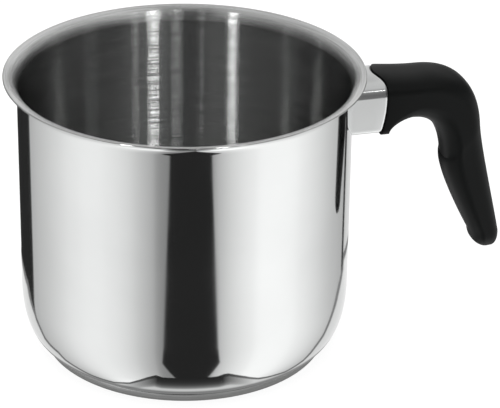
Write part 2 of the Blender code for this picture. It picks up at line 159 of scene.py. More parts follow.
class SleeveSizes(bpy.types.PropertyGroup):
    wall: length("Wall", "Thickness of the sleeve", 0.0008)
    crown_height: length("Crown height", "Rounded top of the sleeve", 0.0070)
    crown_power: share("Crown power", "2 is an ellipse, more is squarer", 2.5, 1.0, 8.0)
    toe_radius: length("Toe radius", "Lower edges of the sleeve", 0.0020)
    tongue: length("Tongue", "How far the grip reaches over the top", 0.0032)
    heel: length("Heel", "How far the grip reaches back underneath", 0.0025)
    heel_power: share("Heel power", "How late down the side the heel begins", 2.2, 1.0, 8.0)
    seat: length("Seat", "Gap between the sleeve and what it meets", 0.0003)
    end_length: length("Turned end", "Stretch of the sleeve that turns in at the grip", 0.0009)
    end_depth: length("Turned depth", "How far the end turns in", 0.00016)


class GripSizes(bpy.types.PropertyGroup):
    proud: length("Proud", "Step from the sleeve up to the grip", 0.00035)
    spigot: length("Spigot", "Part of the grip inside the sleeve", 0.0060)
    root: length("Root", "Straight start of the grip", 0.0015)
    reach: length("Reach", "Root to the outermost point before the tip", 0.05595)
    drop: length("Drop", "Top of the grip to its last full section", 0.0809)
    bar_thickness: length("Bar thickness", "Level part above the fingers", 0.0211)
    chin: length("Chin", "How far the grip's lower front edge hangs below the sleeve", 0.0008)
    tip_length: length("Tip length", "Rounded end", 0.0088)
    tip_power: share("Tip power", "2 is an ellipse, more is squarer", 2.1, 1.0, 8.0)
    tip_lean: share("Tip lean", "How far the tip's end lies towards the back, of the thickness", 0.19)
    edge_radius: length("Edge radius", "Rounded edge that meets the sleeve", 0.0005)
    recess_radius: length("Recess radius", "Round recess for the screw", 0.0052)


class ScrewSizes(bpy.types.PropertyGroup):
    shank_radius: length("Shank radius", "Half the thread", 0.0020)
    head_radius: length("Head radius", "Half the head", 0.0040)
    head_height: length("Head height", "Height of the pan head", 0.0026)
    head_round: length("Head round", "Rounded edge of the head", 0.0011)
    cross_length: length("Cross length", "Across the cross recess at the surface", 0.0042)
    cross_width: length("Cross width", "Width of one wing at the surface", 0.0010)
    cross_depth: length("Cross depth", "Depth of the recess", 0.0016)
    point: length("Point", "Bevel at the end of the shank", 0.0006)
    pitch: length("Pitch", "Advance of the thread in one turn", 0.0007)
    thread_depth: length("Thread depth", "Depth of the thread", 0.0003)


class Finishes(bpy.types.PropertyGroup):
    steel: colour("Polished steel", "Outside of the pan", (0.612, 0.62, 0.617))
    steel_inside: colour("Brushed steel", "Inside of the pan", (0.47, 0.475, 0.47))
    steel_rim: colour("Rim steel", "Flared rim, from above", (0.64, 0.645, 0.64))
    satin: colour("Satin steel", "Cap of the base", (0.55, 0.553, 0.55))
    sleeve: colour("Sleeve steel", "Sleeve of the handle", (0.612, 0.62, 0.617))
    phenolic: colour("Phenolic", "Moulded grip", (0.0036, 0.0041, 0.0040))
    aluminium: colour("Aluminium", "Heat spreader", (0.78, 0.79, 0.80))
    pressed: colour("Pressed steel", "Bracket", (0.48, 0.48, 0.49))
    weld: colour("Weld metal", "Weld nuggets", (0.33, 0.32, 0.31))
    heat: colour("Heat tint", "Stain on the weld nuggets", (0.42, 0.36, 0.28))
    zinc: colour("Zinc plate", "Screw and washers", (0.62, 0.63, 0.64))
    brass: colour("Brass", "Square nut", (0.72, 0.53, 0.25))


class StudioSettings(bpy.types.PropertyGroup):
    distance: length("Distance", "Camera to the point it turns about", 1.0853)
    aim_height: length("Aim height", "Height of that point on the pan's axis", 0.065)
    azimuth: angle("Azimuth", "Camera's place round the pan", -14.0)
    elevation: angle("Elevation", "Camera above the horizon", 26.3)
    roll: angle("Roll", "Turn of the camera about its own axis", 0.10)
    lens_share: share("Lens", "Focal length, of the frame's width", 5.049, 0.0, 20.0)
    shift_x: share("Shift across", "Sideways shift of the frame", 0.1309, -1.0, 1.0)
    shift_y: share("Shift up", "Upward shift of the frame", -0.0119, -1.0, 1.0)
    daylight: share("Daylight", "Even light on everything that isn't mirrored", 1.25, 0.0, 10.0)
    floor_colour: colour("Floor", "Pale paper, where it shades", (0.22, 0.22, 0.22))
    floor_glow: share("Floor glow", "Light that the pale paper gives out", 0.86, 0.0, 10.0)


GROUPS = {
    "milk_pan_body": PanSizes,
    "milk_pan_base": BaseSizes,
    "milk_pan_sleeve": SleeveSizes,
    "milk_pan_grip": GripSizes,
    "milk_pan_screw": ScrewSizes,
    "milk_pan_finishes": Finishes,
    "milk_pan_studio": StudioSettings,
}


def settings(name):
    """The scene's property group of a piece."""
    return getattr(bpy.context.scene, f"milk_pan_{name}")


# Modelling helpers

def quarter(power, steps):
    """Points of a unit quarter of a superellipse, from (1, 0) up to (0, 1)."""
    angles = [math.pi / 2 * step / steps for step in range(steps + 1)]
    return [(abs(math.cos(a)) ** (2 / power), abs(math.sin(a)) ** (2 / power)) for a in angles]


def bezier(points, part):
    """Point at a share of the way along a cubic curve with four control points."""
    rest = 1 - part
    weights = (rest ** 3, 3 * rest ** 2 * part, 3 * rest * part ** 2, part ** 3)
    return sum((weight * point for weight, point in zip(weights, points)), points[0] * 0)


def deselect():
    if bpy.context.mode != "OBJECT":
        bpy.ops.object.mode_set(mode="OBJECT")
    bpy.ops.object.select_all(action="DESELECT")


def select_only(piece):
    deselect()
    bpy.context.view_layer.objects.active = piece
    piece.select_set(True)


def finish_piece(piece, name):
    """Names a piece, merges its seams, turns its faces outwards and puts its place into its mesh."""
    bpy.ops.object.mode_set(mode="EDIT")
    bpy.ops.mesh.select_all(action="SELECT")
    bpy.ops.mesh.remove_doubles(threshold=MERGE)
    bpy.ops.mesh.normals_make_consistent(inside=False)
    bpy.ops.object.mode_set(mode="OBJECT")
    bpy.ops.object.transform_apply()
    bpy.ops.object.shade_smooth_by_angle(angle=SHARP_ANGLE)
    piece.name = name
    piece.data.name = name
    return piece


def turn(name, outline, segments):
    """Turns an outline of (radius, height) points, from the Z axis and back to it, ring by ring."""
    deselect()
    rings = outline[1:-1]
    radius, height = rings[0]
    bpy.ops.mesh.primitive_circle_add(vertices=segments, radius=radius, location=(0, 0, height),
                                      fill_type="NGON", enter_editmode=True)
    bpy.ops.mesh.inset(thickness=radius / 2)
    bpy.ops.mesh.select_all(action="DESELECT")
    select_ring(radius, height)
    for (radius, height), (wider, higher) in zip(rings, rings[1:]):
        bpy.ops.mesh.extrude_region_move(TRANSFORM_OT_translate={"value": (0, 0, higher - height)})
        bpy.ops.transform.resize(value=(wider / radius, wider / radius, 1), center_override=(0, 0, higher))
    bpy.ops.mesh.edge_face_add()
    bpy.ops.mesh.inset(thickness=rings[-1][0] / 2)
    return finish_piece(bpy.context.object, name)


def select_ring(radius, height):
    """Selects the edges of the mesh in edit mode that lie on one circle about its axis."""
    bpy.ops.object.mode_set(mode="OBJECT")
    mesh = bpy.context.object.data
    base = bpy.context.object.location.z
    for edge in mesh.edges:
        ends = [mesh.vertices[v].co for v in edge.vertices]
        edge.select = all(abs(p.xy.length - radius) < MERGE and abs(p.z + base - height) < MERGE
                          for p in ends)
    for vertex in mesh.vertices:
        vertex.select = abs(vertex.co.xy.length - radius) < MERGE
    bpy.ops.object.mode_set(mode="EDIT")
    bpy.ops.mesh.select_mode(type="EDGE")


def loft(name, loops, closed=False):
    """Extrudes a ring once for each of the equal loops, brings every ring to its loop, and caps both ends.

    Closed loops run back to the first one, and need no caps.
    """
    deselect()
    bpy.ops.mesh.primitive_circle_add(vertices=len(loops[0]), fill_type="NOTHING", enter_editmode=True)
    for _ in loops[1:]:
        bpy.ops.mesh.extrude_region_move(TRANSFORM_OT_translate={"value": (0, 0, 1)})
    if not closed:
        bpy.ops.mesh.edge_face_add()
        bpy.ops.mesh.select_all(action="DESELECT")
        bpy.ops.mesh.select_non_manifold()
        bpy.ops.mesh.edge_face_add()
    bpy.ops.object.mode_set(mode="OBJECT")
    piece = bpy.context.object
    places = [value for loop in loops for point in loop for value in point]
    piece.data.vertices.foreach_set("co", places)
    return finish_piece(piece, name)


def apply_boolean(piece, cutter):
    """Cuts a cutter out of a piece and removes the cutter."""
    step = piece.modifiers.new(cutter.name, "BOOLEAN")
    step.operation = "DIFFERENCE"
    step.solver = "EXACT"
    step.object = cutter
    select_only(piece)
    bpy.ops.object.modifier_apply(modifier=step.name)
    bpy.data.objects.remove(cutter, do_unlink=True)


def place(piece, node, slot, *materials):
    """Hangs a finished piece on the model's one body, in place of its node, and gives it its materials."""
    for made in materials:
        piece.data.materials.append(made)
    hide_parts(node)
    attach(piece, "root")


# Shader helpers

def wire(tree, value, socket):
    """Feeds a socket from another socket, or gives it a plain value."""
    if isinstance(value, bpy.types.NodeSocket):
        tree.links.new(value, socket)
    else:
        socket.default_value = value


def fill(tree, made, inputs):
    """Wires a node's named inputs; an underscore stands for a space in their names."""
    for label, value in inputs.items():
        wire(tree, value, made.inputs[label.replace("_", " ")])
    return made


def add(tree, kind, **inputs):
    """Adds a shader node of a kind and wires its inputs."""
    return fill(tree, tree.nodes.new(f"ShaderNode{kind}"), inputs)


def calculate(tree, operation, *values):
    """A Math node whose inputs are numbers or sockets; returns its result."""
    made = add(tree, "Math")
    made.operation = operation
    for socket, value in zip(made.inputs, values):
        wire(tree, value, socket)
    return made.outputs[0]


def multiply(tree, first, *others):
    """Product of numbers and sockets."""
    for other in others:
        first = calculate(tree, "MULTIPLY", first, other)
    return first


def distance(tree, value, spot):
    """How far a value is from a spot."""
    return calculate(tree, "ABSOLUTE", calculate(tree, "SUBTRACT", value, spot))


def blend(tree, first, second, part):
    """The second value by a part, and the first by what is left of it."""
    rest = multiply(tree, first, calculate(tree, "SUBTRACT", 1.0, part))
    return calculate(tree, "MULTIPLY_ADD", second, part, rest)


def spread(tree, value, low, high, start=NOISE_SPAN[0], end=NOISE_SPAN[1]):
    """Maps a mask to a range, clamped."""
    made = add(tree, "MapRange", Value=value, From_Min=start, From_Max=end, To_Min=low, To_Max=high)
    return made.outputs[0]


def soft_step(tree, value, spot, softness):
    """Rises softly from 0 to 1 at a spot."""
    return spread(tree, value, 0, 1, spot - softness, spot + softness)


def coordinate(tree, label):
    """One of the Texture Coordinate node's outputs."""
    return add(tree, "TexCoord").outputs[label]


def parts(tree, vector):
    """The three values of a vector."""
    return add(tree, "SeparateXYZ", Vector=vector).outputs


def about_axis(tree):
    """Distance from the piece's Z axis, turn about it and height along it."""
    x, y, z = parts(tree, coordinate(tree, "Object"))
    squares = calculate(tree, "ADD", multiply(tree, x, x), multiply(tree, y, y))
    return calculate(tree, "SQRT", squares), calculate(tree, "ARCTAN2", y, x), z


def noise(tree, vector, scale=1.0, detail=2.0):
    """Value of a noise that reads a vector."""
    return add(tree, "TexNoise", Vector=vector, Scale=scale, Detail=detail).outputs["Fac"]


def socket_group(name, outputs, **inputs):
    """An empty node group; returns it with the sockets that it is given and those that it puts out."""
    group = bpy.data.node_groups.new(name, "ShaderNodeTree")
    for label, default in inputs.items():
        kind = "NodeSocketVector" if isinstance(default, tuple) else "NodeSocketFloat"
        made = group.interface.new_socket(label.replace("_", " "), in_out="INPUT", socket_type=kind)
        made.default_value = default
    for label in outputs:
        group.interface.new_socket(label, in_out="OUTPUT", socket_type="NodeSocketFloat")
    return group, group.nodes.new("NodeGroupInput").outputs, group.nodes.new("NodeGroupOutput").inputs


def turned_lines_group():
    """Fine lines that run round the Z axis, on walls and floors alike, broken up along their length."""
    group, given, result = socket_group("turned_lines", ["Lines"], Lines_per_metre=4000.0, Length=3.0)
    radius, turned, z = about_axis(group)
    fineness = given["Lines per metre"]
    stretched = add(group, "CombineXYZ", X=multiply(group, radius, fineness), Y=multiply(group, z, fineness),
                     Z=multiply(group, turned, given["Length"]))
    wire(group, noise(group, stretched.outputs[0]), result["Lines"])


def turned_grooves_group():
    """Fine grooves round the Z axis, uneven in depth, and deeper from one height down to a lower one."""
    group, given, result = socket_group(
        "turned_grooves", ["Grooves"], Grooves_per_metre=6600.0, Uneven_per_metre=900.0, Length=3.0,
        Shallowest=0.60, Deeper_below=1.0, Upper_height=0.115, Lower_height=0.081)
    radius, turned, z = about_axis(group)
    along = calculate(group, "ADD", radius, z)
    phase = multiply(group, along, given["Grooves per metre"], 2 * math.pi)
    stretched = add(group, "CombineXYZ", X=multiply(group, along, given["Uneven per metre"]),
                     Y=multiply(group, turned, given["Length"]))
    depth = spread(group, noise(group, stretched.outputs[0]), given["Shallowest"], 1.0)
    deeper = spread(group, z, 1.0, given["Deeper below"], given["Upper height"], given["Lower height"])
    wave = multiply(group, calculate(group, "SINE", phase), multiply(group, depth, deeper))
    wire(group, calculate(group, "MULTIPLY_ADD", wave, 0.5, 0.5), result["Grooves"])


def drawn_lines_group():
    """Straight fine lines along one axis: the stretch is small along them and large across."""
    group, given, result = socket_group("drawn_lines", ["Lines"], Stretch=(200.0, 4000.0, 4000.0))
    stretched = add(group, "VectorMath")
    stretched.operation = "MULTIPLY"
    wire(group, coordinate(group, "Object"), stretched.inputs[0])
    wire(group, given["Stretch"], stretched.inputs[1])
    wire(group, noise(group, stretched.outputs[0]), result["Lines"])


def handling_group():
    """Faint smudges from hands and washing, and a finer grain in them."""
    group, given, result = socket_group("handling", ["Smudges", "Grain"], Smudge_size=30.0, Grain_size=900.0)
    spot = coordinate(group, "Object")
    wire(group, noise(group, spot, given["Smudge size"], 4.0), result["Smudges"])
    wire(group, noise(group, spot, given["Grain size"]), result["Grain"])


def make_groups():
    if "handling" not in bpy.data.node_groups:
        turned_lines_group()
        turned_grooves_group()
        drawn_lines_group()
        handling_group()


def use_group(tree, name, **inputs):
    """Places a shared group in a material, with this material's own values; returns its outputs."""
    made = add(tree, "Group")
    made.node_tree = bpy.data.node_groups[name]
    return fill(tree, made, inputs).outputs


def new_material(name, **inputs):
    """A material with a Principled shader; returns it, its tree and the shader."""
    made = bpy.data.materials.new(name)
    made.use_nodes = True
    shader = made.node_tree.nodes["Principled BSDF"]
    return made, made.node_tree, fill(made.node_tree, shader, inputs)


def tinted(colour_value, factor):
    """A colour made darker or brighter."""
    return tuple(min(1.0, part * factor) for part in colour_value)


def mix_colours(tree, shader, mask, dark, light):
    """Colours a shader from dark to light by a mask."""
    mixed = add(tree, "Mix")
    mixed.data_type = "RGBA"
    fill(tree, mixed, {"A": (*dark, 1), "B": (*light, 1), "Factor": spread(tree, mask, 0, 1)})
    wire(tree, mixed.outputs["Result"], shader.inputs["Base Color"])


def tint(tree, shader, mask, colour_value, darkest, lightest):
    """Colours a shader between two shares of its colour by a mask."""
    mix_colours(tree, shader, mask, tinted(colour_value, darkest), tinted(colour_value, lightest))


def gloss(tree, shader, mask, least, most):
    """Spreads a shader's roughness by a mask."""
    wire(tree, spread(tree, mask, least, most), shader.inputs["Roughness"])


def relief(tree, shader, height, strength, depth, filter_width=0.1):
    """Gives a shader a fine relief."""
    made = add(tree, "Bump", Height=height, Strength=strength, Distance=depth, Filter_Width=filter_width)
    wire(tree, made.outputs[0], shader.inputs["Normal"])


def polished_steel(name, colour_value, roughness):
    """Mirror-polished sheet with faint polishing lines and smudges."""
    made, tree, shader = new_material(name, Metallic=1.0)
    smudges = use_group(tree, "handling", Smudge_size=26.0, Grain_size=700.0)["Smudges"]
    lines = use_group(tree, "turned_lines", Lines_per_metre=2600.0, Length=5.0)["Lines"]
    tint(tree, shader, smudges, colour_value, darkest=0.97, lightest=1.02)
    gloss(tree, shader, smudges, least=roughness * 0.8, most=roughness * 1.35)
    relief(tree, shader, lines, strength=0.05, depth=0.00002)
    return made


def brushed_steel(name, colour_value, groove_depth, **brushing):
    """Inside of the pan, brushed round its axis, so highlights stretch upright."""
    made, tree, shader = new_material(name, Metallic=1.0, Anisotropic=1.0, Anisotropic_Rotation=0.25)
    lines = use_group(tree, "turned_lines", Lines_per_metre=3200.0, Length=3.5)["Lines"]
    smudges = use_group(tree, "handling", Smudge_size=20.0, Grain_size=600.0)["Smudges"]
    grooves = use_group(tree, "turned_grooves", **brushing)["Grooves"]
    tint(tree, shader, lines, colour_value, darkest=0.84, lightest=1.08)
    gloss(tree, shader, smudges, least=0.13, most=0.15)
    relief(tree, shader, grooves, strength=1.0, depth=groove_depth, filter_width=0.005)
    return made


def turned_metal(name, colour_value, roughness, lines_per_metre, strength):
    """Metal finished on a lathe: rings on flat faces, lines round the sides."""
    made, tree, shader = new_material(name, Metallic=1.0, Anisotropic=0.5, Anisotropic_Rotation=0.25)
    lines = use_group(tree, "turned_lines", Lines_per_metre=lines_per_metre, Length=2.0)["Lines"]
    smudges = use_group(tree, "handling", Smudge_size=35.0, Grain_size=900.0)["Smudges"]
    tint(tree, shader, lines, colour_value, darkest=0.88, lightest=1.08)
    gloss(tree, shader, smudges, least=roughness * 0.85, most=roughness * 1.15)
    relief(tree, shader, lines, strength, depth=0.00004)
    return made


def drawn_metal(name, colour_value, roughness, stretch, strength):
    """Metal with straight rolling or drawing lines."""
    made, tree, shader = new_material(name, Metallic=1.0)
    lines = use_group(tree, "drawn_lines", Stretch=stretch)["Lines"]
    smudges = use_group(tree, "handling", Smudge_size=60.0, Grain_size=1500.0)["Smudges"]
    tint(tree, shader, lines, colour_value, darkest=0.90, lightest=1.06)
    gloss(tree, shader, smudges, least=roughness * 0.85, most=roughness * 1.2)
    relief(tree, shader, lines, strength, depth=0.00003)
    return made


def weld_metal(name, colour_value, heat_colour):
    """Dull metal with a heat tint."""
    made, tree, shader = new_material(name, Metallic=1.0)
    smudges, grain = use_group(tree, "handling", Smudge_size=700.0, Grain_size=3000.0)
    mix_colours(tree, shader, smudges, tinted(colour_value, 0.7), heat_colour)
    gloss(tree, shader, grain, least=0.5, most=0.7)
    relief(tree, shader, grain, strength=0.4, depth=0.0001)
    return made


def moulded_phenolic(name, colour_value):
    """Satin black moulding: fine tooth from the mould, slightly uneven gloss."""
    made, tree, shader = new_material(name, Metallic=0.0, Specular_IOR_Level=0.12)
    smudges, grain = use_group(tree, "handling", Smudge_size=45.0, Grain_size=2600.0)
    tint(tree, shader, smudges, colour_value, darkest=0.9, lightest=1.15)
    gloss(tree, shader, smudges, least=0.42, most=0.48)
    relief(tree, shader, grain, strength=0.12, depth=0.00005)
    return made


# Pieces

def mirrored(points):
    """The same points on the section's other half, from the last to the first."""
    return [(-across, up) for across, up in reversed(points)]


def sleeve_section(half_width, height, crown, toe_across, toe_up, crown_power):
    """Outline of the sleeve and grip seen along them, as (across, up), from a shoulder over the crown."""
    crown_points, toe_points, floor_points = SECTION_POINTS
    over = [(half_width * x, height - crown + crown * y) for x, y in quarter(crown_power, crown_points)]
    over += mirrored(over[:-1])
    shoulder = over[-1][1]
    side = [(-half_width, shoulder + (toe_up - shoulder) * part) for part in SIDE_PARTS]
    toe = [(-half_width + toe_across * (1 - x), toe_up * (1 - y)) for x, y in quarter(2, toe_points)]
    flat = half_width - toe_across
    floor = [(flat * (2 * step / floor_points - 1), 0) for step in range(1, floor_points)]
    return over + side + toe + floor + mirrored(toe) + mirrored(side)


class HandleForm:
    """The sleeve's section and its curved end, which the grip follows."""

    def __init__(self):
        self.sleeve = settings("sleeve")
        self.top = SLEEVE_HIGH.z
        self.bottom = SLEEVE_LOW.z
        self.half_width = SLEEVE_HIGH.y
        self.end = SLEEVE_HIGH.x
        self.shoulder = self.top - self.sleeve.crown_height

    def section(self, inset):
        """Section drawn in by an inset, in world Y and Z."""
        sleeve = self.sleeve
        toe = max(sleeve.toe_radius - inset, sleeve.seat)
        outline = sleeve_section(self.half_width - inset, self.top - self.bottom - 2 * inset,
                                 sleeve.crown_height - inset, toe, toe, sleeve.crown_power)
        return [(across, self.bottom + inset + up) for across, up in outline]

    def end_at(self, across, up):
        """How far out the sleeve reaches at a point of its section."""
        sleeve = self.sleeve
        if up > self.shoulder:
            return self.end - sleeve.tongue * (1 + math.cos(math.pi * across / self.half_width)) / 2
        fall = (self.shoulder - up) / (self.shoulder - self.bottom)
        return self.end - sleeve.heel * min(1, fall) ** sleeve.heel_power


class MILKPAN_OT_body(bpy.types.Operator):
    """Turns the drawn pan with its flared rim and soft lower corner"""
    bl_idname = "milkpan.body"
    bl_label = "Pan body"
    bl_options = {"REGISTER", "UNDO"}

    def face(self, sizes, bend_height, offset):
        """One face of the sheet out to the rim; the offset is 0 outside and the wall inside."""
        flat_radius = sizes.inner_radius + sizes.wall - sizes.corner_width
        corner_top = BODY_LOW.z + sizes.corner_height
        line = [(flat_radius * part, BODY_LOW.z + offset) for part in FLOOR_PARTS]
        width = sizes.corner_width - offset
        height = sizes.corner_height - offset
        line += [(flat_radius + width * x, corner_top - height * y)
                 for x, y in reversed(quarter(sizes.corner_power, CORNER_STEPS))]
        radius, low = line[-1]
        rings = [low + (bend_height - low) * step / WALL_RINGS for step in range(1, WALL_RINGS)]
        line += [(radius, ring) for ring in (low + BEND_HOLD, *rings, bend_height - BEND_HOLD)]
        bend_centre = sizes.inner_radius + sizes.flare_radius
        bend = sizes.flare_radius - sizes.wall + offset
        turns = [sizes.flare_turn * step / BEND_RINGS for step in range(BEND_RINGS + 1)]
        return line + [(bend_centre - bend * math.cos(a), bend_height + bend * math.sin(a)) for a in turns]

    def outline(self, sizes, bend_height):
        """Both faces of the sheet, joined by the rounded edge of the rim."""
        inner = self.face(sizes, bend_height, sizes.wall)
        outer = self.face(sizes, bend_height, 0)
        lip = Vector((math.sin(sizes.flare_turn), math.cos(sizes.flare_turn))) * sizes.lip_length
        out = lip.normalized()
        across = Vector((-out.y, out.x))
        half = sizes.wall / 2
        centre = Vector([(a + b) / 2 for a, b in zip(inner[-1], outer[-1])]) + lip - out * half
        angles = [math.pi * step / ARC_STEPS for step in range(ARC_STEPS + 1)]
        edge = [tuple(centre + across * half * math.cos(a) + out * half * math.sin(a)) for a in angles]
        return [(0, inner[0][1])] + inner + edge + outer[::-1] + [(0, outer[0][1])]

    def execute(self, context):
        make_groups()
        sizes = settings("body")
        colours = settings("finishes")
        bend_height = (BODY_HIGH.z - sizes.flare_radius * math.sin(sizes.flare_turn)
                       - sizes.lip_length * math.cos(sizes.flare_turn))
        pan = turn("pan", self.outline(sizes, bend_height), sizes.segments)
        outside = polished_steel("polished_outside", colours.steel, roughness=0.07)
        inside = brushed_steel("brushed_inside", colours.steel_inside, groove_depth=0.000033,
                               Deeper_below=1.02, Uneven_per_metre=1300.0, Shallowest=0.68)
        rim = brushed_steel("brushed_rim", colours.steel_rim, groove_depth=0.000018, Deeper_below=2.1,
                            Uneven_per_metre=3000.0, Shallowest=0.35, Lower_height=bend_height,
                            Upper_height=bend_height + sizes.rim_start)
        place(pan, "pan_body", "polished_steel", outside, inside, rim)
        for polygon in pan.data.polygons:
            normal = polygon.normal
            if normal.xy.dot(polygon.center.xy) < 0 or normal.z > FACING_UP:
                polygon.material_index = 2 if polygon.center.z > bend_height else 1
        return {"FINISHED"}


class MILKPAN_OT_base(bpy.types.Operator):
    """Turns the satin cap that closes the base"""
    bl_idname = "milkpan.base"
    bl_label = "Base cap"
    bl_options = {"REGISTER", "UNDO"}

    def execute(self, context):
        make_groups()
        sizes = settings("base")
        colours = settings("finishes")
        radius = CAP_HIGH.x
        top = CAP_HIGH.z
        wall = sizes.wall

        def corner(bend):
            middle = radius - sizes.corner_radius
            arc = reversed(quarter(2, ARC_STEPS))
            return [(middle + bend * x, sizes.corner_radius - bend * y) for x, y in arc]

        half = sizes.groove_width / 2
        groove = [(sizes.groove_radius + half * x, sizes.groove_depth * (1 - x * x) ** 2)
                  for x in [2 * step / GROOVE_STEPS - 1 for step in range(GROOVE_STEPS + 1)]]
        broken = sizes.edge_radius
        edge = [(radius - broken + broken * x, top - broken + broken * y) for x, y in quarter(2, EDGE_STEPS)]
        outline = [(0, 0), (radius / 4, 0)] + groove + corner(sizes.corner_radius) + edge
        outline += [(radius - wall, top)] + corner(sizes.corner_radius - wall)[::-1]
        outline += [(radius / 4, wall), (0, wall)]
        cap = turn("base_ring_cap", outline, CAP_SEGMENTS)
        satin = turned_metal("satin_base", colours.satin, roughness=0.38, lines_per_metre=2400.0,
                             strength=0.25)
        polished = polished_steel("polished_base_edge", colours.steel, roughness=0.16)
        place(cap, "base_cap", "satin_steel", satin, polished)
        for polygon in cap.data.polygons:
            on_edge = polygon.center.z > top - broken and polygon.center.xy.length > radius - broken
            polygon.material_index = 1 if on_edge else 0
        return {"FINISHED"}


class MILKPAN_OT_sleeve(bpy.types.Operator):
    """Forms the polished sleeve between the wall and the grip"""
    bl_idname = "milkpan.sleeve"
    bl_label = "Flame guard sleeve"
    bl_options = {"REGISTER", "UNDO"}

    def execute(self, context):
        make_groups()
        form = HandleForm()
        sizes = form.sleeve
        body = settings("body")
        wall_face = body.inner_radius + body.wall + sizes.seat

        def ring(inset, part, drawn_in=0.0):
            """A ring of the sleeve; the part runs from 0 at the wall to 1 at the start of the turned end."""
            loop = []
            for (y, z), (turned_y, turned_z) in zip(form.section(inset), form.section(inset + drawn_in)):
                start = math.sqrt(wall_face ** 2 - y * y)
                straight = form.end_at(y, z) - sizes.end_length
                x = start + (straight - start) * min(part, 1) + sizes.end_length * max(part - 1, 0)
                loop.append((x, turned_y, turned_z))
            return loop

        steps = [step / EDGE_STEPS for step in range(1, EDGE_STEPS + 1)]
        loops = [ring(0, part) for part in SLEEVE_PARTS]
        loops += [ring(0, 1 + step, sizes.end_depth * step ** 2) for step in steps]
        loops += [ring(sizes.wall, part) for part in (2, 1, 0.5, 0)]
        loops.append(loops[0])
        sleeve = loft("sleeve", loops, closed=True)
        finish = polished_steel("polished_sleeve", settings("finishes").sleeve, roughness=0.12)
        place(sleeve, "flame_guard", "polished_sleeve", finish)
        return {"FINISHED"}


